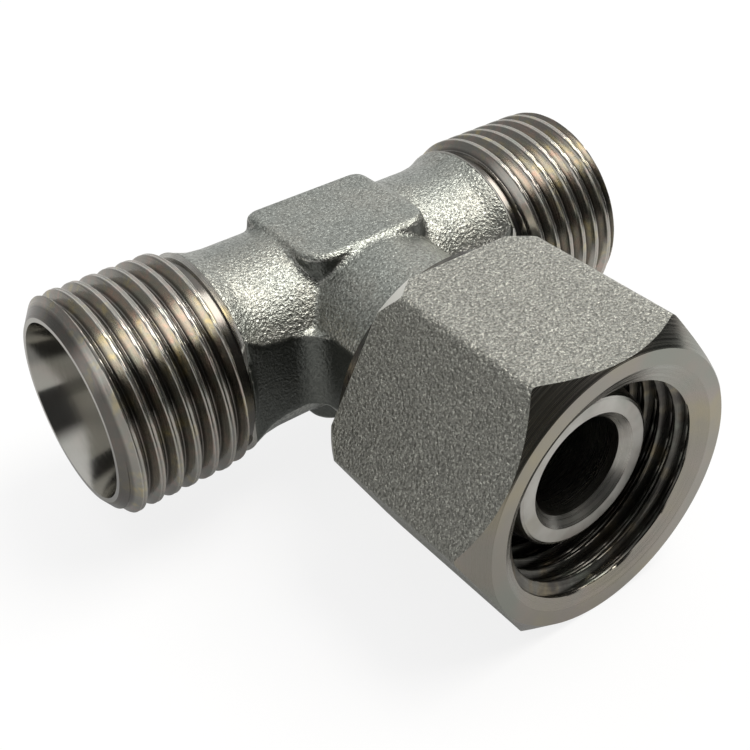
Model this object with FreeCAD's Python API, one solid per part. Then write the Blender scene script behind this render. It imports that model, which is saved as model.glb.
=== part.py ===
import FreeCAD, Part
import math
import os

# Adjustable tee adapter for 12 mm hydraulic tube, light series, with 24 degree cones.
# A forged steel tee carries a male tube connection at each end of its run. Its branch is a
# turned stem with an external cone and an O-ring, and a hexagon swivel nut turns freely on it.
# All sizes are in millimetres. The run lies along X, the branch points to -Y, and Z is up.
# The origin is the point where the axes of the run and the branch cross.

# The tube that the fitting takes. Every diameter of the fitting is worked out from it.
TUBE_DIA = 12.0

# Run: the tube sockets inside the male ends
CONE_HALF_ANGLE = 12.0
CONE_MOUTH_STEP = 1.15
TUBE_CLEARANCE = 0.05
TUBE_STOP = 17.8
TUBE_STOP_STEP = 1.0

# Run: the two male ends
RUN_REACH = 24.8
END_WALL = 1.85
THREAD_START = 14.2
NOSE_CHAMFER = 1.05
THREAD_BACK_CHAMFER = 0.5
RELIEF_DEPTH = 1.05
RELIEF_WIDTH = 0.65
SHOULDER_DEPTH = 0.55
SHOULDER_BEVEL = 0.3

# Forging: necks, trimmed sides and the flat pads above and below the crossing
NECK_BELOW_SHOULDER = 0.7
TRIM_BELOW_NECK = 0.75
FLARE_LENGTH = 3.0
FLARE_STEPS = 2
INNER_CORNER_RADIUS = 2.4
PAD_ABOVE_NECK = 0.25
PAD_LENGTH = 11.8
PAD_BACK = 4.7
PAD_FRONT = 5.5
PAD_BACK_CORNER_RADIUS = 1.2
PAD_FRONT_CORNER_RADIUS = 2.2
PAD_DRAFT_ANGLE = 6.0
PAD_EDGE_BEVEL = 0.35

# Branch: the stem that the nut turns on
STEM_REACH = 29.3
STEM_OVER_CONE_MOUTH = 0.05
STEM_TIP_BEVEL = 0.3
BRANCH_BORE_STEP = 1.0
BORE_CHAMFER = 0.7
NECK_TO_NUT_GAP = 0.4

# O-ring in the cone
ORING_SECTION = 1.5
ORING_INSET = 0.1
ORING_FROM_TIP = 2.4
ORING_GROOVE_WIDTH = 1.9

# Swivel nut
NUT_WALL = 2.0
NUT_LENGTH = 17.5
NUT_OVERHANG = 2.65
NUT_FACE_STEP = 0.1
NUT_CHAMFER_ANGLE = 45.0
NUT_THREAD_CUT = 0.81
NUT_THREAD_LENGTH = 9.0
NUT_MOUTH_STEP = 0.7
NUT_MOUTH_DEPTH = 0.7
NUT_RELIEF_STEP = 0.2
NUT_RELIEF_WIDTH = 1.6
NUT_SHOULDER_ANGLE = 45.0
NUT_BORE_CLEARANCE = 0.15
NUT_BORE_BEVEL = 0.3

# Snap wire that keeps the nut on the stem
WIRE_DIA = 1.6
WIRE_FROM_NUT_BACK = 2.6
WIRE_CLEARANCE = 0.1
WIRE_GAP_ANGLE = 24.0

# How far a cutting tool runs past the face that it cuts
TOOL_PAST = 1.0

# How many sides stand for the round section of the O-ring and the wire
SECTION_SIDES = 8

CENTRE = FreeCAD.Vector(0, 0, 0)
AXIS_X = FreeCAD.Vector(1, 0, 0)
AXIS_Y = FreeCAD.Vector(0, 1, 0)
AXIS_Z = FreeCAD.Vector(0, 0, 1)

# What follows from the sizes above. Every radius starts from the tube's.
CONE_SLOPE = math.tan(math.radians(CONE_HALF_ANGLE))
TUBE_SOCKET_RADIUS = TUBE_DIA / 2 + TUBE_CLEARANCE
CONE_MOUTH_RADIUS = TUBE_DIA / 2 + CONE_MOUTH_STEP
RUN_BORE_RADIUS = TUBE_DIA / 2 - TUBE_STOP_STEP
THREAD_RADIUS = CONE_MOUTH_RADIUS + END_WALL
RELIEF_RADIUS = THREAD_RADIUS - RELIEF_DEPTH
SHOULDER_RADIUS = THREAD_RADIUS - SHOULDER_DEPTH
RELIEF_START = THREAD_START - RELIEF_WIDTH
NECK_RADIUS = SHOULDER_RADIUS - NECK_BELOW_SHOULDER
TRIM_HALF = NECK_RADIUS - TRIM_BELOW_NECK
PAD_TOP = NECK_RADIUS + PAD_ABOVE_NECK
BRANCH_BORE_RADIUS = RUN_BORE_RADIUS - BRANCH_BORE_STEP
STEM_RADIUS = CONE_MOUTH_RADIUS + STEM_OVER_CONE_MOUTH
STEM_TIP = TUBE_SOCKET_RADIUS
ORING_CENTRE_RADIUS = STEM_TIP - ORING_INSET
NUT_FRONT_Y = -(STEM_REACH + NUT_OVERHANG)
NUT_BACK_Y = NUT_FRONT_Y + NUT_LENGTH
NECK_END_Y = NUT_BACK_Y + NECK_TO_NUT_GAP
NUT_HALF_FLATS = THREAD_RADIUS + NUT_WALL
NUT_BORE_RADIUS = STEM_RADIUS + NUT_BORE_CLEARANCE
WIRE_Y = NUT_BACK_Y - WIRE_FROM_NUT_BACK
WIRE_RING_RADIUS = (STEM_RADIUS + NUT_BORE_RADIUS) / 2


def turned(profile, axis):
    """A solid of revolution. Each profile point is (place along the axis, radius)."""
    points = []
    for along, radius in profile:
        points.append(axis * along + AXIS_Z * radius)
    points.append(points[0])
    face = Part.Face(Part.makePolygon(points))
    return face.revolve(CENTRE, axis, 360)


def run_neck(axis):
    """Half of the run's neck: a plain barrel, a flare that follows an arc, and a turned bevel."""
    flare_end = RELIEF_START - SHOULDER_BEVEL
    straight_end = flare_end - FLARE_LENGTH
    rise = NECK_BELOW_SHOULDER
    arc_radius = (FLARE_LENGTH ** 2 + rise ** 2) / (2 * rise)
    profile = [(0, 0), (0, NECK_RADIUS)]
    for step in range(FLARE_STEPS + 1):
        along = FLARE_LENGTH * step / FLARE_STEPS
        lift = arc_radius - math.sqrt(arc_radius ** 2 - along ** 2)
        profile.append((straight_end + along, NECK_RADIUS + lift))
    profile.append((RELIEF_START, SHOULDER_RADIUS - SHOULDER_BEVEL))
    profile.append((RELIEF_START, 0))
    return turned(profile, axis)


def upright_block(x_low, x_high, y_low, y_high, half_height):
    """A box that stands evenly above and below the tee's middle plane."""
    corner = FreeCAD.Vector(x_low, y_low, -half_height)
    return Part.makeBox(x_high - x_low, y_high - y_low, 2 * half_height, corner)


def trimmed_outline(half_height):
    """The tee outline that the forging is trimmed to, with a fillet in each inner corner."""
    run = upright_block(-RELIEF_START, RELIEF_START, -TRIM_HALF, TRIM_HALF, half_height)
    branch = upright_block(-TRIM_HALF, TRIM_HALF, NECK_END_Y, 0, half_height)
    outline = run.fuse(branch)
    radius = INNER_CORNER_RADIUS
    for side in (-1, 1):
        low = min(side * TRIM_HALF, side * (TRIM_HALF + radius))
        fill = upright_block(low, low + radius, -TRIM_HALF - radius, -TRIM_HALF, half_height)
        round_centre = FreeCAD.Vector(side * (TRIM_HALF + radius), -TRIM_HALF - radius, -half_height)
        fill = fill.cut(Part.makeCylinder(radius, 2 * half_height, round_centre, AXIS_Z))
        outline = outline.fuse(fill)
    return outline.removeSplitter()


def pad_outline(spread, height):
    """The pad's rounded rectangle at one height, spread outwards by its draft, as a closed wire."""
    half = PAD_LENGTH / 2 + spread
    back = PAD_BACK + spread
    front = PAD_FRONT + spread
    back_radius = PAD_BACK_CORNER_RADIUS + spread
    front_radius = PAD_FRONT_CORNER_RADIUS + spread
    corners = [
        (half - back_radius, back - back_radius, back_radius, 0),
        (-half + back_radius, back - back_radius, back_radius, 90),
        (-half + front_radius, -front + front_radius, front_radius, 180),
        (half - front_radius, -front + front_radius, front_radius, 270),
    ]
    edges = []
    arc_ends = []
    for x, y, radius, first in corners:
        ends = []
        for turn in (first, first + 45, first + 90):
            angle = math.radians(turn)
            ends.append(FreeCAD.Vector(x + radius * math.cos(angle), y + radius * math.sin(angle), height))
        arc_ends.append(ends)
    for index, ends in enumerate(arc_ends):
        edges.append(Part.Arc(*ends).toShape())
        following = arc_ends[(index + 1) % len(arc_ends)]
        edges.append(Part.LineSegment(ends[2], following[0]).toShape())
    return Part.Wire(edges)


def pads():
    """The flat pads above and below the crossing, drafted, with a bevelled top edge."""
    foot = pad_outline(PAD_TOP * math.tan(math.radians(PAD_DRAFT_ANGLE)), 0)
    upper = Part.makeLoft([foot, pad_outline(0, PAD_TOP)], True, True)
    rim = [edge for edge in upper.Edges if edge.BoundBox.ZMin > PAD_TOP - PAD_EDGE_BEVEL / 2]
    upper = upper.makeChamfer(PAD_EDGE_BEVEL, rim)
    lower = upper.mirror(CENTRE, AXIS_Z)
    return upper.fuse(lower)


def forging():
    """The forged middle of the tee, before any machining."""
    branch_neck = Part.makeCylinder(NECK_RADIUS, -NECK_END_Y, CENTRE, AXIS_Y * -1)
    necks = run_neck(AXIS_X).fuse([run_neck(AXIS_X * -1), branch_neck])
    necks = necks.common(trimmed_outline(2 * SHOULDER_RADIUS))
    band_half_height = math.sqrt(NECK_RADIUS ** 2 - TRIM_HALF ** 2)
    return necks.fuse([trimmed_outline(band_half_height), pads()])


def male_end(axis):
    """The turned end of the run: relief groove, thread at its full diameter, chamfered nose."""
    return turned(
        [
            (RELIEF_START - TOOL_PAST, 0),
            (RELIEF_START - TOOL_PAST, TRIM_HALF),
            (RELIEF_START, RELIEF_RADIUS),
            (THREAD_START, RELIEF_RADIUS),
            (THREAD_START + THREAD_BACK_CHAMFER, THREAD_RADIUS),
            (RUN_REACH - NOSE_CHAMFER, THREAD_RADIUS),
            (RUN_REACH, THREAD_RADIUS - NOSE_CHAMFER),
            (RUN_REACH, 0),
        ],
        axis,
    )


def tube_socket(axis):
    """The space for one tube: the 24 degree cone, the socket with its stop, and the bore."""
    cone_length = (CONE_MOUTH_RADIUS - TUBE_SOCKET_RADIUS) / CONE_SLOPE
    return turned(
        [
            (0, 0),
            (0, RUN_BORE_RADIUS),
            (TUBE_STOP, RUN_BORE_RADIUS),
            (TUBE_STOP, TUBE_SOCKET_RADIUS),
            (RUN_REACH - cone_length, TUBE_SOCKET_RADIUS),
            (RUN_REACH + TOOL_PAST, CONE_MOUTH_RADIUS + TOOL_PAST * CONE_SLOPE),
            (RUN_REACH + TOOL_PAST, 0),
        ],
        axis,
    )


def stem():
    """The turned stem of the branch, with its cone and the grooves for the O-ring and the wire."""
    cone_length = (STEM_RADIUS - STEM_TIP) / CONE_SLOPE
    edge_radius = STEM_TIP + STEM_TIP_BEVEL * CONE_SLOPE
    outside = turned(
        [
            (-NECK_END_Y - TOOL_PAST, 0),
            (-NECK_END_Y - TOOL_PAST, STEM_RADIUS),
            (STEM_REACH - cone_length, STEM_RADIUS),
            (STEM_REACH - STEM_TIP_BEVEL, edge_radius),
            (STEM_REACH, edge_radius - STEM_TIP_BEVEL),
            (STEM_REACH, 0),
        ],
        AXIS_Y * -1,
    )
    oring_root = ORING_CENTRE_RADIUS - ORING_SECTION / 2
    oring_groove = groove_ring(
        STEM_REACH - ORING_FROM_TIP, ORING_GROOVE_WIDTH, oring_root, STEM_RADIUS + TOOL_PAST
    )
    wire_root = STEM_RADIUS - WIRE_DIA - WIRE_CLEARANCE
    wire_groove = groove_ring(
        -WIRE_Y, WIRE_DIA + 2 * WIRE_CLEARANCE, wire_root, STEM_RADIUS + TOOL_PAST
    )
    return outside.cut([oring_groove, wire_groove])


def groove_ring(place, width, inner_radius, outer_radius):
    """A square ring about the branch axis, used to cut a groove."""
    return turned(
        [
            (place - width / 2, inner_radius),
            (place - width / 2, outer_radius),
            (place + width / 2, outer_radius),
            (place + width / 2, inner_radius),
        ],
        AXIS_Y * -1,
    )


def branch_bore():
    """The bore of the branch, from the run's axis to its chamfered mouth."""
    mouth_radius = BRANCH_BORE_RADIUS + BORE_CHAMFER
    return turned(
        [
            (0, 0),
            (0, BRANCH_BORE_RADIUS),
            (STEM_REACH - BORE_CHAMFER, BRANCH_BORE_RADIUS),
            (STEM_REACH + TOOL_PAST, mouth_radius + TOOL_PAST),
            (STEM_REACH + TOOL_PAST, 0),
        ],
        AXIS_Y * -1,
    )


def tee_body():
    """The whole tee, forged and machined in one piece."""
    left = AXIS_X * -1
    solid = forging().fuse([male_end(AXIS_X), male_end(left), stem()])
    solid = solid.cut([tube_socket(AXIS_X), tube_socket(left), branch_bore()])
    return solid.removeSplitter()


def swivel_nut():
    """The hexagon nut, with its thread at the minor diameter, and a bore that fits the stem."""
    corner_radius = NUT_HALF_FLATS / math.cos(math.radians(30))
    corners = []
    for turn in range(7):
        angle = math.radians(60 * turn)
        corners.append(
            FreeCAD.Vector(corner_radius * math.cos(angle), NUT_FRONT_Y, corner_radius * math.sin(angle))
        )
    blank = Part.Face(Part.makePolygon(corners)).extrude(AXIS_Y * NUT_LENGTH)
    face_radius = NUT_HALF_FLATS - NUT_FACE_STEP
    chamfer_length = (corner_radius - face_radius) / math.tan(math.radians(NUT_CHAMFER_ANGLE))
    front = -NUT_FRONT_Y
    back = -NUT_BACK_Y
    chamfers = turned(
        [
            (back, 0),
            (back, face_radius),
            (back + chamfer_length, corner_radius),
            (front - chamfer_length, corner_radius),
            (front, face_radius),
            (front, 0),
        ],
        AXIS_Y * -1,
    )
    minor = THREAD_RADIUS - NUT_THREAD_CUT
    relief = THREAD_RADIUS + NUT_RELIEF_STEP
    mouth = THREAD_RADIUS + NUT_MOUTH_STEP
    relief_end = front - NUT_THREAD_LENGTH - NUT_RELIEF_WIDTH
    shoulder_length = (relief - NUT_BORE_RADIUS) / math.tan(math.radians(NUT_SHOULDER_ANGLE))
    mouth_slope = (mouth - minor) / NUT_MOUTH_DEPTH
    inside = turned(
        [
            (front + TOOL_PAST, 0),
            (front + TOOL_PAST, mouth + TOOL_PAST * mouth_slope),
            (front - NUT_MOUTH_DEPTH, minor),
            (front - NUT_THREAD_LENGTH, minor),
            (front - NUT_THREAD_LENGTH, relief),
            (relief_end, relief),
            (relief_end - shoulder_length, NUT_BORE_RADIUS),
            (back + NUT_BORE_BEVEL, NUT_BORE_RADIUS),
            (back - TOOL_PAST, NUT_BORE_RADIUS + NUT_BORE_BEVEL + TOOL_PAST),
            (back - TOOL_PAST, 0),
        ],
        AXIS_Y * -1,
    )
    wire_groove = groove_ring(
        -WIRE_Y,
        WIRE_DIA + 2 * WIRE_CLEARANCE,
        STEM_RADIUS,
        WIRE_RING_RADIUS + WIRE_DIA / 2 + WIRE_CLEARANCE,
    )
    return blank.common(chamfers).cut([inside, wire_groove])


def round_section(centre, diameter):
    """A round section in the plane of the branch's axis and Z, as an even polygon of few sides."""
    points = []
    for index in range(SECTION_SIDES + 1):
        angle = 2 * math.pi * index / SECTION_SIDES
        points.append(centre + (AXIS_Y * math.sin(angle) + AXIS_Z * math.cos(angle)) * (diameter / 2))
    return Part.Face(Part.makePolygon(points))


def o_ring():
    """The O-ring that seats in the cone's groove."""
    centre = AXIS_Y * -(STEM_REACH - ORING_FROM_TIP) + AXIS_Z * ORING_CENTRE_RADIUS
    return round_section(centre, ORING_SECTION).revolve(CENTRE, AXIS_Y, 360)


def retaining_wire():
    """The open snap ring of round wire, half in the stem's groove and half in the nut's."""
    section = round_section(AXIS_Y * WIRE_Y + AXIS_Z * -WIRE_RING_RADIUS, WIRE_DIA)
    section.rotate(CENTRE, AXIS_Y, WIRE_GAP_ANGLE / 2)
    return section.revolve(CENTRE, AXIS_Y, 360 - WIRE_GAP_ANGLE)


SUB_PARTS = {
    "tee_body": tee_body,
    "swivel_nut": swivel_nut,
    "o_ring": o_ring,
    "retaining_wire": retaining_wire,
}

os.makedirs("parts", exist_ok=True)
for name, make in SUB_PARTS.items():
    shape = make()
    shape.exportStep("parts/" + name + ".step")
    print(name, "solids", len(shape.Solids), "valid", shape.isValid(), "volume", round(shape.Volume, 1))
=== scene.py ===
import math
from functools import partial

import bmesh
import bpy
import numpy as np
from mathutils import Matrix, Quaternion, Vector


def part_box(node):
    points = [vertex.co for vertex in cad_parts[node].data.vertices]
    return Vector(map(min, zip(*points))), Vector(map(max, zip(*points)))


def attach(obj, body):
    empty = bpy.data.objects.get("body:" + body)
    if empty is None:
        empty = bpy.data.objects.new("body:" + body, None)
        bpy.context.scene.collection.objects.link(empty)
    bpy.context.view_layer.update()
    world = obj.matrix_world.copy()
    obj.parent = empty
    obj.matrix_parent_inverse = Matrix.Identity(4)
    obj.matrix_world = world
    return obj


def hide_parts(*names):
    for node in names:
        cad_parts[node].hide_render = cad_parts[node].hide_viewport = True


bl_info = {
    "name": "Adjustable tee adapter",
    "version": (1, 0, 0),
    "blender": (4, 5, 0),
    "location": "3D View > Sidebar > Tee adapter",
    "description": "Threads, forged skin and plated steel finishes for a tee adapter with a swivel nut",
    "category": "Object",
}

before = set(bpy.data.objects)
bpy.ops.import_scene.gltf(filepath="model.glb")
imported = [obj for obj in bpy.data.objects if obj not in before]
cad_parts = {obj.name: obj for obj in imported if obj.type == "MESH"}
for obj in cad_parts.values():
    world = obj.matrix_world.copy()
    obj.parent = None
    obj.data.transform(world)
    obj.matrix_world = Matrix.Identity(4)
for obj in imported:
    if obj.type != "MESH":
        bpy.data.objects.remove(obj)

MM = 0.001
TURN = 2 * math.pi

# Places taken from the frame, in millimetres: the reach of the run, the stem and the nut
tee_low, tee_high = (np.array(corner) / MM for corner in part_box("tee_body"))
nut_low, nut_high = (np.array(corner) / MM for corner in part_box("swivel_nut"))
ring_low, ring_high = (np.array(corner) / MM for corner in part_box("o_ring"))
wire_low, wire_high = (np.array(corner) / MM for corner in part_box("retaining_wire"))
RUN_REACH = float(tee_high[0])
THREAD_RADIUS = float(tee_high[2])
STEM_REACH = float(-tee_low[1])
NUT_FRONT = float(-nut_low[1])
NUT_BACK = float(-nut_high[1])
NUT_FLATS = float(nut_high[2] - nut_low[2])
FLOOR_HEIGHT = float(min(tee_low[2], nut_low[2]))

# The tee's other sizes, in millimetres. The form and the leads of the threads, the cut ring and the
# end face are this script's own. The others are those of the solids.
PITCH = 1.5
THREAD_DEPTH = 0.86
CREST_WIDTH = 0.36
CREST_SEAM = 0.07
LIP_ROUNDING = 0.04
ROOT_ROUNDING = 0.12
EDGE_ROUNDING = 0.06
THREAD_LEADS = {"male_end_right": 0.55, "male_end_left": 0.3}
FLANK_SLOPE = math.tan(math.radians(60))
THREAD_START = 14.2
THREAD_BACK_CHAMFER = 0.5
RELIEF_START = 13.55
RELIEF_RADIUS = 7.95
SHOULDER_RADIUS = 8.45
SHOULDER_BEVEL = 0.3
RING_WIDTH = 0.06
RING_STEP = 0.03
NOSE_CHAMFER = 1.05
FACE_RADIUS = 7.55
CONE_SLOPE = math.tan(math.radians(12))
CONE_MOUTH_RADIUS = 7.15
SOCKET_RADIUS = 6.05
TUBE_STOP = 17.8
RUN_BORE_RADIUS = 5.0
TRIM_HALF = 7.0
NECK_END = NUT_BACK - 0.4
STEM_RADIUS = 7.2
STEM_TIP_RADIUS = 6.05
STEM_EDGE = 0.3
BRANCH_BORE_RADIUS = 4.0
BORE_CHAMFER = 0.7
ORING_CENTRE_RADIUS = 5.95
ORING_SECTION_RADIUS = 0.75
ORING_GROOVE_HALF = 0.95
ORING_PLACE = float(-(ring_low[1] + ring_high[1]) / 2)
WIRE_PLACE = float(-(wire_low[1] + wire_high[1]) / 2)
WIRE_RADIUS = 0.8
WIRE_RING_RADIUS = 7.275
WIRE_CLEARANCE = 0.1
WIRE_GAP = math.radians(24)

# How the turned pieces sit in the forging, in millimetres: they reach into it, and their bores end
# just past its cut face and stand back behind that, so that no two walls lie on each other
ROOT_REACH = 1.0
ROOT_RADIUS = TRIM_HALF - 1.0
STEM_LAP = 0.5
RING_LAP = 0.1
BORE_LAP = 0.15
BORE_STAND_BACK = 0.3
# How near to a bore a corner of the forging's mesh is taken to lie on it
BORE_REACH = 0.2

# The nut's other sizes, in millimetres
NUT_FACE_RADIUS = 10.9
NUT_MINOR_RADIUS = 8.19
NUT_THREAD_DEPTH = 0.81
NUT_MOUTH_RADIUS = 9.7
NUT_MOUTH_DEPTH = 0.7
NUT_THREAD_INSET = 0.2
NUT_THREAD_LENGTH = 9.0
NUT_RELIEF_RADIUS = 9.2
NUT_RELIEF_WIDTH = 1.6
NUT_BORE_RADIUS = 7.35
NUT_BORE_BEVEL = 0.3
NUT_COLLAR_RADIUS = 10.5
NUT_COLLAR_WIDTH = 1.15
NUT_BACK_FACE_RADIUS = 11.85
REAR_CHAMFER_STRETCH = 1.9
REAR_CHAMFER_MIN = 0.02
NUT_COLLAR_EDGE = 0.1
NUT_COLLAR_LAP = 0.15
NUT_CORNER_BLUNT = 0.09
NUT_CORNER_ROUNDING = 0.12
HEXAGON_TURN = TURN / 6

# The grids of the surfaces: faces round the nut, the rings and a ring's section, rows along one
# pitch of the nut's thread, the shares at which the nut's chamfers and flats have rows, the gap from
# a corner to the rows beside it, and the angle past which an edge is sharp
NUT_COLUMNS = 360
NUT_ROWS_PER_PITCH = 24
RING_FACES = 128
WIRE_FACES = 120
SECTION_FACES = 24
CHAMFER_ROWS = (0.0, 0.04, 0.25, 0.5, 0.75, 0.96)
FLAT_ROWS = (0.0, 0.006, *np.linspace(0.03, 0.97, 40), 0.994)
CORNER_GAP = 0.03
SHARP_ANGLE = math.radians(32)

# The numbers of the axes along the run, along the branch and upward
RUN_AXIS = 0
BRANCH_AXIS = 1
UP_AXIS = 2

# Half the floor's width and the lamp, in millimetres and watts
FLOOR_HALF = 3000
KEY_PLACE = (450, -150, 800)
KEY_SIZE = 600
KEY_POWER = 7.4
KEY_COLOUR = (1.0, 0.97, 0.92)


def put(name, corners, faces, body, materials, face_material=None, sharp_angle=None):
    """Makes one finished mesh object in metres, with its place in its mesh, and lets it ride."""
    mesh = bpy.data.meshes.new(name)
    mesh.from_pydata((corners * MM).tolist(), [], faces.tolist())
    for material in materials:
        mesh.materials.append(material)
    if face_material is not None:
        mesh.polygons.foreach_set("material_index", face_material.astype(np.int32))
    mesh.polygons.foreach_set("use_smooth", np.ones(len(faces), bool))
    if sharp_angle is not None:
        mesh.set_sharp_from_angle(angle=sharp_angle)
    mesh.update()
    piece = bpy.data.objects.new(name, mesh)
    bpy.context.scene.collection.objects.link(piece)
    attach(piece, body)
    return piece


def closed_grid(rows, columns):
    """Quads of a grid that closes on itself in both directions, as a torus does."""
    row, column = np.meshgrid(np.arange(rows), np.arange(columns), indexing="ij")
    next_row = (row + 1) % rows
    next_column = (column + 1) % columns
    quads = np.stack(
        [row * columns + column, row * columns + next_column,
         next_row * columns + next_column, next_row * columns + column],
        axis=-1,
    )
    return quads.reshape(-1, 4)


def put_rows(name, parts, angle, placer, body, materials):
    """Makes one closed piece from parts. Each part is the number of its material, its rows of places
    along the axis and its rows of radii. The last row is joined to the first, and so is the last
    column."""
    along = np.concatenate([places for number, places, radii in parts])
    radius = np.concatenate([radii for number, places, radii in parts])
    row_material = np.concatenate([np.full(len(places), number) for number, places, radii in parts])
    corners = placer(along, radius, np.broadcast_to(angle, along.shape))
    return put(name, corners, closed_grid(*along.shape), body, materials,
               np.repeat(row_material, len(angle)), SHARP_ANGLE)


def about_run(along, radius, angle, side):
    """Points at a place along the run, a radius and an angle; side -1 turns them to the left end."""
    return np.stack(
        [along * side, radius * np.cos(angle) * side, radius * np.sin(angle)], axis=-1
    ).reshape(-1, 3)


def about_branch(along, radius, angle):
    """Points at a place along the branch, which runs to -Y, a radius and an angle about it."""
    return np.stack([radius * np.cos(angle), -along, radius * np.sin(angle)], axis=-1).reshape(-1, 3)


def thread_drop(along, angle, handed=1.0):
    """How far a rolled thread lies below its crest: a shallow seam between the crest's two rounded
    lips, then the 60 degree flank down to the root. The phase is the place less a pitch a turn."""
    phase = (along / PITCH - handed * angle / TURN) % 1.0
    from_crest = np.abs(phase - 0.5) * PITCH
    share = np.minimum(from_crest / (CREST_WIDTH / 2), 1.0)
    seam = CREST_SEAM * (1 - share ** 2) ** 2
    past_lip = -rounded_low(CREST_WIDTH / 2 - from_crest, 0.0, 2 * LIP_ROUNDING)
    return seam + past_lip * FLANK_SLOPE


def rounded_low(height, limit, softness):
    """The lower of two values, with a soft corner where they cross."""
    blend = np.clip(0.5 + 0.5 * (limit - height) / softness, 0, 1)
    return limit * (1 - blend) + height * blend - softness * blend * (1 - blend)


def along_path(points, step):
    """Rows along a broken line of (along, radius) points, at most one step apart, with each corner
    point kept and two close rows beside it, so that smooth shading stays crisp at the corners."""
    rows = []
    for start, end in zip(points[:-1], points[1:]):
        length = math.dist(start, end)
        gap = min(CORNER_GAP / length, 0.25)
        count = max(1, math.ceil(length / step))
        share = np.concatenate([[0.0, gap], np.linspace(gap, 1 - gap, count + 1)[1:-1], [1 - gap]])
        rows.append(np.outer(1 - share, start) + np.outer(share, end))
    rows.append(np.array([points[-1]]))
    return np.concatenate(rows)


def between(shares, start, end):
    """Rows of places and radii at the given shares of the way from one rim to another. A rim is a
    place along the axis and a radius, each one number or one for each column."""
    share = np.array(shares)[:, None]
    return [first * (1 - share) + last * share for first, last in zip(start, end)]


def spread(rows, columns):
    """The places and the radii of a path's rows, each repeated for every column."""
    return np.repeat(rows[:, :1], columns, axis=1), np.repeat(rows[:, 1:], columns, axis=1)


class Socket:
    """A value in a shader tree. Its operators add the Math nodes that an expression needs."""

    def __init__(self, tree, socket):
        self.tree = tree
        self.socket = socket

    def maths(self, operation, *values, clamp=False):
        return node(self.tree, "ShaderNodeMath", {"operation": operation, "use_clamp": clamp}, *values)

    def __add__(self, other):
        return self.maths("ADD", self, other)

    __radd__ = __add__

    def __sub__(self, other):
        return self.maths("SUBTRACT", self, other)

    def __rsub__(self, other):
        return self.maths("SUBTRACT", other, self)

    def __mul__(self, other):
        return self.maths("MULTIPLY", self, other)

    __rmul__ = __mul__

    def clamped(self):
        return self.maths("ADD", self, 0.0, clamp=True)

    def step(self, low, high):
        """0 below low, 1 above high, smooth between."""
        return node(
            self.tree, "ShaderNodeMapRange", {"interpolation_type": "SMOOTHSTEP"}, self, low, high
        )


def node(tree, kind, settings, *values, output=0, stops=(), numbered=None, **named):
    """Adds one node: its settings and its ramp's stops first, then its sockets, by order, by number
    or by name. Returns one output, or none where the node has no output."""
    made = tree.nodes.new(kind)
    for key, value in settings.items():
        setattr(made, key, value)
    if stops:
        ramp = made.color_ramp
        while len(ramp.elements) < len(stops):
            ramp.elements.new(0.5)
        for element, (place, colour) in zip(ramp.elements, stops):
            element.position = place
            element.color = (*colour, 1.0)
    wanted = dict(enumerate(values)) | (numbered or {})
    wanted |= {key.replace("_", " "): value for key, value in named.items()}
    for key, value in wanted.items():
        target = made.inputs[key]
        if isinstance(value, Socket):
            tree.links.new(value.socket, target)
        elif target.type == "RGBA":
            target.default_value = (*value, 1.0)
        else:
            target.default_value = value
    return Socket(tree, made.outputs[output]) if made.outputs else None


def mix_colour(tree, share, first, second):
    """Mixes two colours by a share. The node names its sockets alike for every kind of value, so
    those for colours are taken by number."""
    sockets = {0: share, 6: first, 7: second}
    return node(tree, "ShaderNodeMix", {"data_type": "RGBA"}, numbered=sockets, output=2)


def axis_part(tree, vector, axis):
    """The part of a vector along one axis."""
    return node(tree, "ShaderNodeSeparateXYZ", {}, vector, output=axis)


def seen_ray(tree):
    """1 for a ray that the camera sees, directly or through glass, and 0 for any other."""
    camera = node(tree, "ShaderNodeLightPath", {}, output="Is Camera Ray")
    through = node(tree, "ShaderNodeLightPath", {}, output="Is Transmission Ray")
    return (camera + through).clamped()


def times(colour, factor):
    """A colour made lighter or darker."""
    return tuple(factor * value for value in colour)


def new_material(name):
    """An empty node material, its tree, and the Object coordinates in millimetres."""
    material = bpy.data.materials.new(name)
    material.use_nodes = True
    tree = material.node_tree
    tree.nodes.clear()
    place = node(tree, "ShaderNodeTexCoord", {}, output="Object")
    place = node(tree, "ShaderNodeVectorMath", {"operation": "SCALE"}, place, Scale=1 / MM)
    return material, tree, place


def finish_steel(material, tree, shade, rough, height, depth):
    """Gives a metal its shader, with a bump of the given depth in millimetres."""
    bump = node(tree, "ShaderNodeBump", {}, Strength=1.0, Distance=depth * MM, Height=height)
    shader = node(
        tree, "ShaderNodeBsdfPrincipled", {},
        Base_Color=shade, Metallic=1.0, Roughness=rough, Normal=bump,
    )
    node(tree, "ShaderNodeOutputMaterial", {}, shader)
    return material


def noise(tree, place, scale, detail=2.0, rough=0.5):
    """Smooth random values from 0 to 1, in grains of about 1 / scale millimetres."""
    return node(
        tree, "ShaderNodeTexNoise", {"noise_dimensions": "3D"},
        Vector=place, Scale=scale, Detail=detail, Roughness=rough,
    )


def axis_distance(tree, place, axis):
    """The distance from one of the three axes, as a length with that axis's part left out."""
    across = tuple(0.0 if index == axis else 1.0 for index in range(3))
    flat = node(tree, "ShaderNodeVectorMath", {"operation": "MULTIPLY"}, place, across)
    return node(tree, "ShaderNodeVectorMath", {"operation": "LENGTH"}, flat, output="Value")


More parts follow.
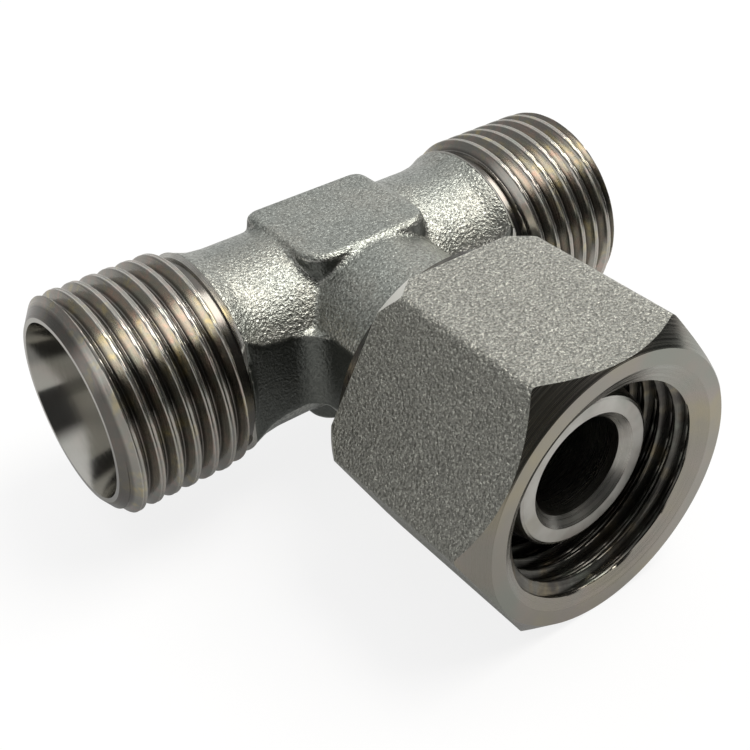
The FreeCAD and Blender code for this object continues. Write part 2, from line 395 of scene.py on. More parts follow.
def blasted_steel(name, colour, warm, grain, depth, trimmed=False):
    """Plated steel with a blasted skin: fine pits and peaks that glint. The pits are painted darker,
    a painted shade, and random specks are painted lighter, painted glints. On the trimmed and drilled
    forging the walls that stand upright are smoother and painted darker as painted shade, the edge
    above them carries a painted highlight, and the bores are smooth."""
    material, tree, place = new_material(name)
    peel = noise(tree, place, 1 / grain, 2.0, 0.6)
    coarse = noise(tree, place, 0.4 / grain, 2.0, 0.5)
    clouds = noise(tree, place, 0.15, 3.0, 0.6)
    specks = noise(tree, place, 1.3 / grain, 1.0, 0.5)
    height = peel * 0.75 + coarse * 0.25
    pit = peel.step(0.55, 0.38)
    shade = mix_colour(tree, clouds.step(0.35, 0.65), colour, warm)
    # Painted shade: the pits are painted darker.
    shade = mix_colour(tree, 0.6 * pit, shade, times(colour, 0.45))
    # Painted glints: random specks are painted twice as light.
    shade = mix_colour(tree, 0.7 * specks.step(0.53, 0.7), shade, times(colour, 2.0))
    rough = 0.3 + 0.12 * pit + 0.06 * clouds
    if trimmed:
        # The lean of the surface is 0 on an upright wall and 1 on a level face. The pads' sides lean
        # a little more than the trimmed sides, by their draft.
        normal = node(tree, "ShaderNodeTexCoord", {}, output="Normal")
        lean = axis_part(tree, normal, UP_AXIS)
        lean = lean.maths("ABSOLUTE", lean)
        level = axis_part(tree, place, UP_AXIS)
        pad = level.maths("ABSOLUTE", level).step(4.6, 5.2)
        wall = 1 - (lean - 0.2 * pad).step(0.2, 0.42)
        edge = lean.step(0.3, 0.42) * (1 - lean.step(0.5, 0.62)) * specks.step(0.35, 0.55)
        # Painted shade: the upright walls, the trimmed sides and the pads' sides, are painted darker.
        shade = mix_colour(tree, 0.88 * wall, shade, times(colour, 0.5))
        # Painted highlight: a band along the edge above the upright walls, broken up by the specks, is
        # painted pale.
        shade = mix_colour(tree, 0.45 * edge, shade, PALE_STEEL_AND_HIGHLIGHT)
        drilled = bore_mask(tree, place)
        shade = mix_colour(tree, drilled, shade, times(colour, 1.3))
        rough = rough * (1 - drilled) + 0.22 * drilled
        height = height * (1 - 0.4 * wall) * (1 - 0.97 * drilled)
    return finish_steel(material, tree, shade, rough, height, depth)


def bore_mask(tree, place):
    """1 on the walls of the run's bore and of the branch's, and 0 on the outside."""
    run = 1 - axis_distance(tree, place, RUN_AXIS).step(RUN_BORE_RADIUS + 0.4, RUN_BORE_RADIUS + 0.8)
    branch = axis_distance(tree, place, BRANCH_AXIS)
    branch = 1 - branch.step(BRANCH_BORE_RADIUS + 0.4, BRANCH_BORE_RADIUS + 0.8)
    front = axis_part(tree, place, BRANCH_AXIS)
    in_branch = 1 - front.step(-RUN_BORE_RADIUS - 0.5, -RUN_BORE_RADIUS + 0.5)
    return (run + branch * in_branch).clamped()


def turned_steel(name, colour, tints, patch, rough, axis, depth, thread=None):
    """Plated steel with a bright turned surface: fine tool marks round the axis and a thin
    passivation film whose tints drift over patches of a few millimetres. Where the radii of a
    thread's root and crest are given, the root is painted dark as painted shade and the crest is
    painted pale, partly as wear and partly as a painted highlight."""
    material, tree, place = new_material(name)
    drift = noise(tree, place, 1.6 / patch, 3.0, 0.6)
    film = noise(tree, place, 1 / patch, 3.0, 0.6)
    marks = node(
        tree, "ShaderNodeTexNoise", {"noise_dimensions": "1D"},
        W=axis_part(tree, place, axis) * 9.0, Scale=1.0, Detail=3.0, Roughness=0.7,
    )
    tint = node(
        tree, "ShaderNodeValToRGB", {}, (film + 0.25 * (drift - 0.5)).step(0.3, 0.7),
        stops=list(zip((0.0, 0.35, 0.6, 1.0), tints)),
    )
    shade = mix_colour(tree, drift.step(0.3, 0.7) * 0.8, colour, tint)
    smooth, dull = rough
    rough = smooth + (dull - smooth) * marks.step(0.3, 0.7)
    if thread:
        root, crest = thread
        radius = axis_distance(tree, place, axis)
        nicks = noise(tree, place, 2.0, 2.0, 0.6)
        crest_wear_and_sheen = radius.step(crest - 0.09, crest - 0.03) * (0.7 + 0.3 * nicks)
        # Painted shade: the thread's root is painted dark.
        shade = mix_colour(tree, 0.7 * (1 - radius.step(root + 0.05, root + 0.35)), shade, PAINTED_SHADE)
        # The crest is painted pale: partly wear, partly a painted highlight.
        shade = mix_colour(tree, 0.28 * crest_wear_and_sheen, shade, PALE_STEEL_AND_HIGHLIGHT)
        rough = rough + 0.06 * crest_wear_and_sheen
    return finish_steel(material, tree, shade, rough, marks, depth)


def black_rubber():
    """Black seal rubber with a faint bloom."""
    material, tree, place = new_material("seal_rubber")
    bloom = noise(tree, place, 1.5, 3.0, 0.6)
    shade = mix_colour(tree, bloom.step(0.4, 0.8), RUBBER_BLACK, RUBBER_BLOOM)
    shader = node(
        tree, "ShaderNodeBsdfPrincipled", {},
        Base_Color=shade, Metallic=0.0, Roughness=0.42 + 0.2 * bloom,
    )
    node(tree, "ShaderNodeOutputMaterial", {}, shader)
    return material


def studio_floor(colour):
    """The floor: a plain pale colour, and most of it plain white to the camera, so that it reads as
    white paper and keeps a soft shadow. In reflections it is paler on the right than on the left."""
    material, tree, place = new_material("studio_floor")
    seen = seen_ray(tree)
    glossy = node(tree, "ShaderNodeLightPath", {}, output="Is Glossy Ray")
    card = 0.45 + 0.55 * axis_part(tree, place, RUN_AXIS).step(-18, 18)
    reflected = mix_colour(tree, card, CARD_DARK, CARD_PALE)
    shade = mix_colour(tree, glossy, colour, reflected)
    shade = mix_colour(tree, seen, shade, WHITE)
    paper = node(tree, "ShaderNodeBsdfDiffuse", {}, Color=shade)
    white = node(tree, "ShaderNodeEmission", {}, Color=WHITE, Strength=1.0)
    share = 0.84 * seen + 0.45 * glossy * card
    shader = node(tree, "ShaderNodeMixShader", {}, share, paper, white)
    node(tree, "ShaderNodeOutputMaterial", {}, shader)
    return material


# The colours that the passivation film takes: strong on the male threads, faint on other turned
# faces, bright in the bores and gold on the nut's face. The dark tints of the nut's thread, collar
# and rear bore are painted shade.
FILM_TINTS = (0.66, 0.54, 0.27), (0.36, 0.36, 0.325), (0.48, 0.37, 0.32), (0.33, 0.35, 0.31)
FAINT_TINTS = (0.335, 0.31, 0.245), (0.295, 0.285, 0.255), (0.305, 0.28, 0.255), (0.27, 0.285, 0.255)
BRIGHT_TINTS = (0.50, 0.47, 0.39), (0.44, 0.43, 0.385), (0.46, 0.43, 0.39), (0.43, 0.44, 0.40)
GOLD_TINTS = (0.37, 0.32, 0.20), (0.32, 0.29, 0.225), (0.31, 0.275, 0.245), (0.25, 0.265, 0.235)
SHADE_TINTS = (0.30, 0.25, 0.16), (0.20, 0.19, 0.16), (0.15, 0.15, 0.135), (0.175, 0.19, 0.16)
# Painted shade: the dark colour of the thread roots and of the nut's thread, collar and rear bore
PAINTED_SHADE = (0.08, 0.075, 0.07)
# Pale bare steel of the cut ring, the nut's rear chamfer and the wire; also the painted highlight on the
# forging's edge and, partly, on the thread crests
PALE_STEEL_AND_HIGHLIGHT = (0.77, 0.76, 0.71)

# Rubber, the floor's two greys in reflections, and white
RUBBER_BLACK = (0.012, 0.012, 0.012)
RUBBER_BLOOM = (0.03, 0.03, 0.03)
CARD_DARK = (0.31, 0.31, 0.31)
CARD_PALE = (0.74, 0.74, 0.74)
WHITE = (1.0, 1.0, 1.0)


class ForgingSettings(bpy.types.PropertyGroup):
    colour: bpy.props.FloatVectorProperty(
        name="Colour", description="Colour of the plated forged skin", subtype="COLOR",
        default=(0.28, 0.294, 0.27), min=0, max=1,
    )
    warm: bpy.props.FloatVectorProperty(
        name="Warm patches", description="Colour of the lighter patches", subtype="COLOR",
        default=(0.32, 0.32, 0.287), min=0, max=1,
    )
    grain: bpy.props.FloatProperty(
        name="Grain", description="Width of one grain of the blasted skin, in millimetres",
        default=0.24, min=0.1,
    )
    depth: bpy.props.FloatProperty(
        name="Depth", description="Depth of the grain, in millimetres", default=0.14, min=0.0,
    )
    voxel: bpy.props.FloatProperty(
        name="Mesh size", description="Size of one face of the forged skin, in millimetres",
        default=0.22, min=0.1,
    )


class TurnedSettings(bpy.types.PropertyGroup):
    colour: bpy.props.FloatVectorProperty(
        name="Colour", description="Colour of the turned steel", subtype="COLOR",
        default=(0.32, 0.312, 0.283), min=0, max=1,
    )
    faces_colour: bpy.props.FloatVectorProperty(
        name="End face colour", description="Colour of the faces turned across the axis", subtype="COLOR",
        default=(0.27, 0.257, 0.225), min=0, max=1,
    )
    stem_colour: bpy.props.FloatVectorProperty(
        name="Stem colour", description="Colour of the stem inside the nut and of the bores", subtype="COLOR",
        default=(0.48, 0.472, 0.44), min=0, max=1,
    )
    columns: bpy.props.IntProperty(
        name="Columns", description="Number of faces round a turned end", default=240, min=24,
    )
    rows_per_pitch: bpy.props.IntProperty(
        name="Rows per pitch", description="Number of faces along one pitch of thread", default=40, min=8,
    )


class StageSettings(bpy.types.PropertyGroup):
    floor_colour: bpy.props.FloatVectorProperty(
        name="Floor", description="Colour of the floor", subtype="COLOR",
        default=(0.8, 0.8, 0.8), min=0, max=2,
    )
    world: bpy.props.FloatProperty(
        name="Room light", description="Strength of the soft light of the room", default=0.93, min=0.0,
    )
    focal: bpy.props.FloatProperty(
        name="Focal length", description="Focal length of the lens in millimetres on a 36 mm sensor",
        default=59.15, min=10.0,
    )


class TEE_OT_forging(bpy.types.Operator):
    """Make the forged skin of the tee"""
    bl_idname = "tee.forging"
    bl_label = "Forged tee"

    def execute(self, context):
        """The skin is the tee's own form, with its edges softened as a die leaves them: the CAD
        node's mesh is copied and cut off at the turned ends, made into even faces and relaxed."""
        settings = context.scene.tee_forging
        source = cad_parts["tee_body"]
        mesh = source.data.copy()
        mesh.name = "tee_forging"
        piece = bpy.data.objects.new("tee_forging", mesh)
        context.scene.collection.objects.link(piece)
        trim_mesh(mesh, (RELIEF_START - SHOULDER_BEVEL) * MM, NECK_END * MM)
        remesh = piece.modifiers.new("even_faces", "REMESH")
        remesh.mode = "VOXEL"
        remesh.voxel_size = settings.voxel * MM
        remesh.use_smooth_shade = True
        relax = piece.modifiers.new("relax", "SMOOTH")
        relax.factor = 0.5
        relax.iterations = 3
        bpy.context.view_layer.update()
        evaluated = piece.evaluated_get(bpy.context.evaluated_depsgraph_get())
        made = bpy.data.meshes.new_from_object(evaluated)
        piece.modifiers.clear()
        piece.data = made
        made.name = "tee_forging"
        true_bores(made)
        made.materials.clear()
        made.materials.append(
            blasted_steel("forged_skin", tuple(settings.colour), tuple(settings.warm), settings.grain,
                          settings.depth, trimmed=True)
        )
        made.polygons.foreach_set("material_index", np.zeros(len(made.polygons), np.int32))
        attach(piece, "tee")
        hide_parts("tee_body")
        return {"FINISHED"}


def trim_mesh(mesh, half_run, branch_reach):
    """Cuts a mesh off square at both ends of the run and at the branch, and closes the cuts."""
    work = bmesh.new()
    work.from_mesh(mesh)
    bmesh.ops.remove_doubles(work, verts=work.verts, dist=1e-7)
    for point, outward in (
        ((half_run, 0, 0), (1, 0, 0)),
        ((-half_run, 0, 0), (-1, 0, 0)),
        ((0, -branch_reach, 0), (0, -1, 0)),
    ):
        geometry = list(work.verts) + list(work.edges) + list(work.faces)
        cut = bmesh.ops.bisect_plane(
            work, geom=geometry, dist=1e-8, plane_co=point, plane_no=outward, clear_outer=True
        )
        edges = [item for item in cut["geom_cut"] if isinstance(item, bmesh.types.BMEdge)]
        bmesh.ops.triangle_fill(work, use_beauty=True, use_dissolve=False, edges=edges)
    bmesh.ops.recalc_face_normals(work, faces=work.faces)
    work.to_mesh(mesh)
    work.free()


def true_bores(mesh):
    """Moves the corners that lie near the two bores onto them: each is scaled about the axis of the
    nearer bore to that bore's radius."""
    places = np.empty(len(mesh.vertices) * 3)
    mesh.vertices.foreach_get("co", places)
    places = places.reshape(-1, 3) / MM
    run = np.hypot(places[:, 1], places[:, 2])
    branch = np.hypot(places[:, 0], places[:, 2])
    off_run = np.abs(run - RUN_BORE_RADIUS)
    off_branch = np.where(places[:, 1] < 0, np.abs(branch - BRANCH_BORE_RADIUS), BORE_REACH)
    on_run = (off_run < BORE_REACH) & (off_run <= off_branch)
    on_branch = (off_branch < BORE_REACH) & (run > RUN_BORE_RADIUS) & ~on_run
    places[on_run, 1:] *= (RUN_BORE_RADIUS / run[on_run])[:, None]
    places[on_branch, ::2] *= (BRANCH_BORE_RADIUS / branch[on_branch])[:, None]
    mesh.vertices.foreach_set("co", (places * MM).ravel())
    mesh.update()


class TEE_OT_male_ends(bpy.types.Operator):
    """Make the two turned and threaded ends of the run"""
    bl_idname = "tee.male_ends"
    bl_label = "Male ends"

    def execute(self, context):
        """Each end is one closed surface of a row along the meridian and an angle. The outside's
        radius is the lowest of the thread, its back chamfer and the nose chamfer. The bevel at the
        neck is cut off by the trimmed sides: its radius is at most TRIM_HALF over the cosine."""
        settings = context.scene.tee_turned
        columns = settings.columns
        materials = [
            turned_steel(
                "turned_run", tuple(settings.colour), FILM_TINTS, patch=2.2, rough=(0.14, 0.26),
                axis=RUN_AXIS, depth=0.004, thread=(THREAD_RADIUS - THREAD_DEPTH, THREAD_RADIUS),
            ),
            turned_steel(
                "bored_run", tuple(settings.stem_colour), BRIGHT_TINTS, patch=8.0, rough=(0.1, 0.16),
                axis=RUN_AXIS, depth=0.001,
            ),
            turned_steel(
                "cut_ring", PALE_STEEL_AND_HIGHLIGHT, FAINT_TINTS, patch=8.0, rough=(0.25, 0.4),
                axis=RUN_AXIS, depth=0.002,
            ),
        ]
        angle = np.linspace(0, TURN, columns, endpoint=False)
        cone_end = RUN_REACH - (CONE_MOUTH_RADIUS - SOCKET_RADIUS) / CONE_SLOPE
        cut_face = RELIEF_START - SHOULDER_BEVEL
        neck_start = cut_face - RING_WIDTH
        ring_radius = SHOULDER_RADIUS + RING_STEP
        inner = along_path(
            [
                (RUN_REACH, FACE_RADIUS),
                (RUN_REACH, CONE_MOUTH_RADIUS),
                (cone_end, SOCKET_RADIUS),
                (TUBE_STOP, SOCKET_RADIUS),
                (TUBE_STOP, RUN_BORE_RADIUS),
                (cut_face - BORE_LAP, RUN_BORE_RADIUS),
                (cut_face - BORE_LAP, RUN_BORE_RADIUS + BORE_STAND_BACK),
                (neck_start - ROOT_REACH, RUN_BORE_RADIUS + BORE_STAND_BACK),
                (neck_start - ROOT_REACH, ROOT_RADIUS),
                (neck_start, ROOT_RADIUS),
            ],
            step=0.8,
        )
        bevel = along_path(
            [
                (neck_start, ring_radius - RING_LAP),
                (cut_face, ring_radius),
                (RELIEF_START, ring_radius - SHOULDER_BEVEL),
            ],
            step=0.1,
        )
        relief = along_path([(RELIEF_START, RELIEF_RADIUS), (THREAD_START, RELIEF_RADIUS)], step=0.3)
        flats = (TRIM_HALF + RING_STEP) / np.maximum(np.abs(np.cos(angle)), 1e-3)
        bevel_places, bevel_radii = spread(bevel, columns)
        before_thread = [
            (0, *spread(inner[:1], columns)),
            (1, *spread(inner[1:], columns)),
            (2, bevel_places, np.minimum(bevel_radii, flats)),
            (0, *spread(relief, columns)),
        ]
        count = round((RUN_REACH - THREAD_START) / PITCH * settings.rows_per_pitch)
        rows = np.linspace(THREAD_START, RUN_REACH, count + 1)[1:-1, None] + np.zeros(columns)
        back_slope = (THREAD_RADIUS - RELIEF_RADIUS) / THREAD_BACK_CHAMFER
        nose_slope = (THREAD_RADIUS - FACE_RADIUS) / NOSE_CHAMFER
        back = RELIEF_RADIUS + (rows - THREAD_START) * back_slope
        nose = FACE_RADIUS + (RUN_REACH - rows) * nose_slope
        for name, side in (("male_end_right", 1), ("male_end_left", -1)):
            drop = thread_drop(rows - THREAD_LEADS[name], angle)
            thread = THREAD_RADIUS - rounded_low(drop, THREAD_DEPTH, ROOT_ROUNDING)
            thread = rounded_low(rounded_low(thread, back, EDGE_ROUNDING), nose, EDGE_ROUNDING)
            piece = put_rows(
                name, [*before_thread, (0, rows, thread)], angle, partial(about_run, side=side),
                "tee", materials,
            )
            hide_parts("tee_body")
        return {"FINISHED"}


class TEE_OT_stem(bpy.types.Operator):
    """Make the turned stem that the nut sits on"""
    bl_idname = "tee.stem"
    bl_label = "Stem"

    def execute(self, context):
        """One closed path of places and radii, turned about the branch: the groove of the snap
        wire, the 24 degree cone with its O-ring groove, the face and the bore."""
        settings = context.scene.tee_turned
        steel = turned_steel(
            "turned_stem", tuple(settings.stem_colour), FAINT_TINTS, patch=6.0, rough=(0.24, 0.36),
            axis=BRANCH_AXIS, depth=0.003,
        )
        root = NECK_END - STEM_LAP
        cone_start = STEM_REACH - (STEM_RADIUS - STEM_TIP_RADIUS) / CONE_SLOPE
        wire_root = STEM_RADIUS - 2 * WIRE_RADIUS - WIRE_CLEARANCE
        wire_half = WIRE_RADIUS + WIRE_CLEARANCE
        wire_start = WIRE_PLACE - wire_half
        wire_end = WIRE_PLACE + wire_half
        ring_root = ORING_CENTRE_RADIUS - ORING_SECTION_RADIUS
        ring_start = ORING_PLACE - ORING_GROOVE_HALF
        ring_end = ORING_PLACE + ORING_GROOVE_HALF

        def cone(place):
            return STEM_TIP_RADIUS + (STEM_REACH - place) * CONE_SLOPE

        # The edge of the face is a bevel, with one more point where it turns over
        path = [
            (NECK_END - BORE_LAP, BRANCH_BORE_RADIUS),
            (NECK_END - BORE_LAP, BRANCH_BORE_RADIUS + BORE_STAND_BACK),
            (root - ROOT_REACH, BRANCH_BORE_RADIUS + BORE_STAND_BACK),
            (root - ROOT_REACH, ROOT_RADIUS),
            (root, ROOT_RADIUS),
            (root, STEM_RADIUS),
            (wire_start, STEM_RADIUS),
            (wire_start, wire_root),
            (wire_end, wire_root),
            (wire_end, STEM_RADIUS),
            (cone_start, STEM_RADIUS),
            (ring_start, cone(ring_start)),
            (ring_start, ring_root),
            (ring_end, ring_root),
            (ring_end, cone(ring_end)),
            (STEM_REACH - STEM_EDGE, cone(STEM_REACH - STEM_EDGE)),
            (STEM_REACH - STEM_EDGE * 0.3, cone(STEM_REACH) - STEM_EDGE * 0.3),
            (STEM_REACH, cone(STEM_REACH) - STEM_EDGE),
            (STEM_REACH, BRANCH_BORE_RADIUS + BORE_CHAMFER),
            (STEM_REACH - BORE_CHAMFER, BRANCH_BORE_RADIUS),
        ]
        rows = along_path([*path, path[0]], step=0.6)[:-1]
        angle = np.linspace(0, TURN, settings.columns, endpoint=False)
        piece = put_rows(
            "stem", [(0, *spread(rows, settings.columns))], angle, about_branch,
            "tee", [steel],
        )
        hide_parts("tee_body")
        return {"FINISHED"}


class TEE_OT_nut(bpy.types.Operator):
    """Make the hexagon swivel nut with its internal thread"""
    bl_idname = "tee.nut"
    bl_label = "Swivel nut"

    def execute(self, context):
        """One closed surface of a row and an angle. The outside's radius is the hexagon's, half the
        flats over the cosine of the angle from the nearest flat, with a soft corner. Each chamfer
        runs from the face to where its cone meets that radius, so its edge is a true curve. A round
        collar stands behind the hexagon. The inside's radius is the minor radius plus what the
        thread cuts out."""
        settings = context.scene.tee_turned
        skin = context.scene.tee_forging
        angle = np.linspace(0, TURN, NUT_COLUMNS, endpoint=False)
        from_flat = (angle - TURN / 4 + HEXAGON_TURN / 2) % HEXAGON_TURN - HEXAGON_TURN / 2
        hexagon = NUT_FLATS / 2 / np.cos(from_flat)
        corner = NUT_FLATS / math.sqrt(3)
        outside = rounded_low(hexagon, corner - NUT_CORNER_BLUNT, NUT_CORNER_ROUNDING)
        back = NUT_BACK + NUT_COLLAR_WIDTH
        back_face = np.minimum(outside - REAR_CHAMFER_MIN, NUT_BACK_FACE_RADIUS)
        back_end = back + (outside - back_face) * REAR_CHAMFER_STRETCH
        front_start = NUT_FRONT - (outside - NUT_FACE_RADIUS)
        collar = along_path(
            [
                (NUT_BACK, NUT_COLLAR_RADIUS - NUT_COLLAR_EDGE),
                (NUT_BACK + NUT_COLLAR_EDGE, NUT_COLLAR_RADIUS),
                (back, NUT_COLLAR_RADIUS),
            ],
            step=0.5,
        )
        mouth = along_path(
            [
                (NUT_FRONT, NUT_FACE_RADIUS),
                (NUT_FRONT, NUT_MOUTH_RADIUS),
                (NUT_FRONT - NUT_MOUTH_DEPTH, NUT_MINOR_RADIUS),
            ],
            step=0.25,
        )
        mouth = mouth[mouth[:, 0] > NUT_FRONT - NUT_THREAD_INSET]
        thread_end = NUT_FRONT - NUT_THREAD_LENGTH
        relief_end = thread_end - NUT_RELIEF_WIDTH
        groove_radius = WIRE_RING_RADIUS + WIRE_RADIUS + WIRE_CLEARANCE
        groove_start = WIRE_PLACE - WIRE_RADIUS - WIRE_CLEARANCE
        groove_end = WIRE_PLACE + WIRE_RADIUS + WIRE_CLEARANCE
        rear = along_path(
            [
                (thread_end, NUT_RELIEF_RADIUS),
                (relief_end, NUT_RELIEF_RADIUS),
                (relief_end - (NUT_RELIEF_RADIUS - NUT_BORE_RADIUS), NUT_BORE_RADIUS),
                (groove_end, NUT_BORE_RADIUS),
                (groove_end, groove_radius),
                (groove_start, groove_radius),
                (groove_start, NUT_BORE_RADIUS),
                (NUT_BACK + NUT_BORE_BEVEL, NUT_BORE_RADIUS),
                (NUT_BACK, NUT_BORE_RADIUS + NUT_BORE_BEVEL),
                (NUT_BACK, NUT_COLLAR_RADIUS - NUT_COLLAR_LAP),
            ],
            step=0.8,
        )
        count = round((NUT_THREAD_LENGTH - NUT_THREAD_INSET) / PITCH * NUT_ROWS_PER_PITCH)
        rows = np.linspace(NUT_FRONT - NUT_THREAD_INSET, thread_end, count)
        countersunk = np.count_nonzero(rows > NUT_FRONT - NUT_MOUTH_DEPTH)
        rows = rows[:, None] + np.zeros(NUT_COLUMNS)
        drop = rounded_low(thread_drop(rows, angle, handed=-1.0), NUT_THREAD_DEPTH, ROOT_ROUNDING)
        mouth_slope = (NUT_MOUTH_RADIUS - NUT_MINOR_RADIUS) / NUT_MOUTH_DEPTH
        countersink = NUT_MOUTH_RADIUS - (NUT_FRONT - rows) * mouth_slope
        thread = np.maximum(NUT_MINOR_RADIUS + (NUT_THREAD_DEPTH - drop), countersink)

        warm = tuple(skin.warm)
        materials = [
            blasted_steel("nut_flats", warm, warm, grain=skin.grain * 0.95, depth=skin.depth * 2.8),
            turned_steel(
                "turned_nut", tuple(settings.faces_colour), GOLD_TINTS, patch=9.0, rough=(0.16, 0.3),
                axis=BRANCH_AXIS, depth=0.003,
            ),
            # Painted shade: a near-black base and dark tints for the nut's thread, its collar and its rear
            # bore
            turned_steel(
                "nut_thread", PAINTED_SHADE, SHADE_TINTS, patch=3.0, rough=(0.24, 0.38),
                axis=BRANCH_AXIS, depth=0.002,
            ),
            turned_steel(
                "nut_chamfer", PALE_STEEL_AND_HIGHLIGHT, (PALE_STEEL_AND_HIGHLIGHT,) * 4, patch=9.0, rough=(0.4, 0.5),
                axis=BRANCH_AXIS, depth=0.003,
            ),
        ]
        # The collar, the thread past the countersink and the rear bore take material 2, painted shade.
        parts = [
            (2, *spread(collar, NUT_COLUMNS)),
            (3, *between(CHAMFER_ROWS, (back, back_face), (back_end, outside))),
            (0, *between(FLAT_ROWS, (back_end, outside), (front_start, outside))),
            (1, *between(CHAMFER_ROWS, (front_start, outside), (NUT_FRONT, NUT_FACE_RADIUS))),
            (1, *spread(mouth, NUT_COLUMNS)),
            (1, rows[:countersunk], thread[:countersunk]),
            (2, rows[countersunk:], thread[countersunk:]),
            (2, *spread(rear, NUT_COLUMNS)),
        ]
        piece = put_rows("hexagon_nut", parts, angle, about_branch, "nut", materials)
        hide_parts("swivel_nut")
        return {"FINISHED"}


class TEE_OT_rings(bpy.types.Operator):
    """Make the O-ring and the snap wire"""
    bl_idname = "tee.rings"
    bl_label = "O-ring and wire"

    def execute(self, context):
        """The O-ring is a torus: an angle round the branch and an angle round the section. The wire
        is the same surface over less than a full turn, closed with a cap at each end."""
        around = np.linspace(0, TURN, RING_FACES, endpoint=False)
        corners = ring_corners(ORING_PLACE, ORING_CENTRE_RADIUS, ORING_SECTION_RADIUS, around)
        faces = closed_grid(RING_FACES, SECTION_FACES)[:, ::-1]
        ring = put("seal_ring", corners, faces, "tee", [black_rubber()])
        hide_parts("o_ring")
        around = np.linspace(WIRE_GAP / 2, TURN - WIRE_GAP / 2, WIRE_FACES + 1) - TURN / 4
        corners = ring_corners(WIRE_PLACE, WIRE_RING_RADIUS, WIRE_RADIUS, around)
        faces = closed_grid(WIRE_FACES + 1, SECTION_FACES)[: WIRE_FACES * SECTION_FACES]
        steel = turned_steel(
            "drawn_wire", PALE_STEEL_AND_HIGHLIGHT, FAINT_TINTS, patch=6.0, rough=(0.25, 0.4),
            axis=BRANCH_AXIS, depth=0.002,
        )
        wire = put("snap_wire", corners, faces, "nut", [steel])
        close_ends(wire.data)
        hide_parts("retaining_wire")
        return {"FINISHED"}


def ring_corners(place, ring_radius, section_radius, around):
    """The corners of a ring of round section about the branch: a circle of them at each angle."""
    section = np.linspace(0, TURN, SECTION_FACES, endpoint=False)
    around = np.repeat(around[:, None], SECTION_FACES, axis=1)
    along = np.broadcast_to(place + section_radius * np.sin(section), around.shape)
    return about_branch(along, ring_radius + section_radius * np.cos(section), around)


def close_ends(mesh):
    """Closes a tube's first and last circle of corners with one flat face each."""
    work = bmesh.new()
    work.from_mesh(mesh)
    corners = list(work.verts)
    work.faces.new(corners[:SECTION_FACES])
    work.faces.new(corners[:-SECTION_FACES - 1:-1])
    bmesh.ops.recalc_face_normals(work, faces=work.faces)
    work.to_mesh(mesh)
    work.free()


class TEE_OT_stage(bpy.types.Operator):
    """Make the floor, the lights, the room light and the camera"""
    bl_idname = "tee.stage"
    bl_label = "Stage"

    def execute(self, context):
        """The floor lies just under the part, and one soft lamp hangs above on the right."""
        settings = context.scene.tee_stage
        half = FLOOR_HALF * MM
        height = FLOOR_HEIGHT * MM
        corners = [(-half, -half, height), (half, -half, height), (half, half, height), (-half, half, height)]
        mesh = bpy.data.meshes.new("floor")
        mesh.from_pydata(corners, [], [(0, 1, 2, 3)])
        mesh.materials.append(studio_floor(tuple(settings.floor_colour)))
        floor = bpy.data.objects.new("floor", mesh)
        context.scene.collection.objects.link(floor)

        make_room(context.scene, settings.world)
        lamp = bpy.data.lights.new("key_light", "AREA")
        lamp.shape = "SQUARE"
        lamp.size = KEY_SIZE * MM
        lamp.energy = KEY_POWER
        lamp.color = KEY_COLOUR
        stand(context.scene, "key_light", lamp, KEY_PLACE, (0, 0, 0))
        make_camera(context.scene, settings.focal)
        context.scene.view_settings.view_transform = "Standard"
        return {"FINISHED"}


def stand(scene, name, data, place, aim, roll=0.0):
    """Adds a lamp or a camera at a place in millimetres, aimed at another, with a roll in degrees."""
    place = Vector(place) * MM
    look = Vector(aim) * MM - place
    turn = look.to_track_quat("-Z", "Y") @ Quaternion((0, 0, 1), math.radians(roll))
    made = bpy.data.objects.new(name, data)
    made.matrix_world = Matrix.Translation(place) @ turn.to_matrix().to_4x4()
    scene.collection.objects.link(made)
    return made


def make_room(scene, strength):
    """The room's light: bright overhead, behind the part and low down on the left, and dim at the
    front, where the camera stands. To the camera itself the room is plain white."""
    world = bpy.data.worlds.new("room")
    world.use_nodes = True
    tree = world.node_tree
    tree.nodes.clear()
    way = node(tree, "ShaderNodeTexCoord", {}, output="Generated")
    across = axis_part(tree, way, RUN_AXIS)
    behind = axis_part(tree, way, BRANCH_AXIS)
    up = axis_part(tree, way, UP_AXIS)
    overhead = (up + 0.35 * behind).step(0.55, 0.9) * (0.6 + 0.4 * across.step(-0.6, 0.1))
    back = behind.step(-0.1, 0.5) * (0.3 + 0.7 * across.step(-0.6, 0.4) + 0.5 * across.step(0.4, 0.9))
    back = back * (1 - 0.5 * up.step(0.25, 0.6))
    left = across.step(-0.8, -0.95) * up.step(-0.02, 0.08) * (1 - up.step(0.35, 0.6))
    level = overhead.maths("MAXIMUM", overhead, back)
    level = strength * (0.05 + 0.95 * level.maths("MAXIMUM", level, 1.4 * left))
    seen = seen_ray(tree)
    level = seen + (1 - seen) * level
    background = node(tree, "ShaderNodeBackground", {}, Color=WHITE, Strength=level)
    node(tree, "ShaderNodeOutputWorld", {}, background)
    scene.world = world


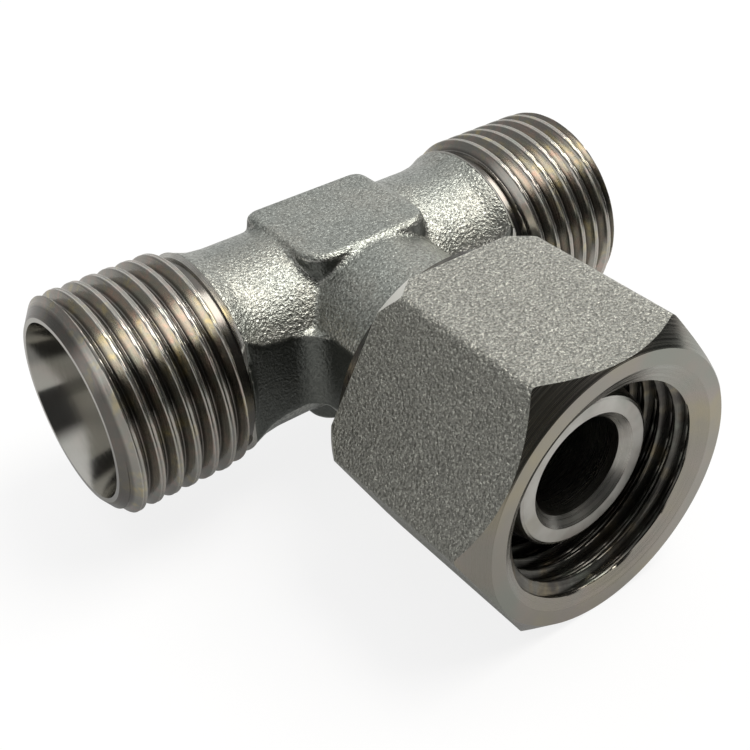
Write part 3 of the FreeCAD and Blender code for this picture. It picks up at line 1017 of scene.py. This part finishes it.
# The camera, fitted to the edges and circles of the photograph: where it stands, what it aims at,
# how far it is turned about its line of sight, and how far its frame is shifted
CAMERA_PLACE = (-48.21, -73.21, 56.98)
CAMERA_AIM = (-1.08, -10.26, 0.0)
CAMERA_ROLL = -1.82
CAMERA_SHIFT = (-0.0387, -0.0283)


def make_camera(scene, focal):
    """Makes the camera of the photograph's view."""
    lens = bpy.data.cameras.new("camera")
    lens.sensor_width = 36.0
    lens.lens = focal
    lens.shift_x, lens.shift_y = CAMERA_SHIFT
    lens.clip_start = 0.005
    lens.clip_end = 20
    scene.camera = stand(scene, "camera", lens, CAMERA_PLACE, CAMERA_AIM, CAMERA_ROLL)


class TEE_PT_panel(bpy.types.Panel):
    """Lists the settings and the pieces"""
    bl_label = "Tee adapter"
    bl_idname = "TEE_PT_panel"
    bl_space_type = "VIEW_3D"
    bl_region_type = "UI"
    bl_category = "Tee adapter"

    def draw(self, context):
        for group in ("tee_forging", "tee_turned", "tee_stage"):
            settings = getattr(context.scene, group)
            for key in settings.__annotations__:
                self.layout.prop(settings, key)
        for operator in OPERATORS:
            self.layout.operator(operator.bl_idname)


OPERATORS = (TEE_OT_forging, TEE_OT_male_ends, TEE_OT_stem, TEE_OT_nut, TEE_OT_rings, TEE_OT_stage)
CLASSES = (ForgingSettings, TurnedSettings, StageSettings, *OPERATORS, TEE_PT_panel)


def register():
    for item in CLASSES:
        bpy.utils.register_class(item)
    bpy.types.Scene.tee_forging = bpy.props.PointerProperty(type=ForgingSettings)
    bpy.types.Scene.tee_turned = bpy.props.PointerProperty(type=TurnedSettings)
    bpy.types.Scene.tee_stage = bpy.props.PointerProperty(type=StageSettings)


def unregister():
    del bpy.types.Scene.tee_stage
    del bpy.types.Scene.tee_turned
    del bpy.types.Scene.tee_forging
    for item in reversed(CLASSES):
        bpy.utils.unregister_class(item)


def main():
    """Makes every piece in order."""
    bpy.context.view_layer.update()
    register()
    bpy.ops.tee.forging()
    bpy.ops.tee.male_ends()
    bpy.ops.tee.stem()
    bpy.ops.tee.nut()
    bpy.ops.tee.rings()
    bpy.ops.tee.stage()


if __name__ == "__main__":
    main()
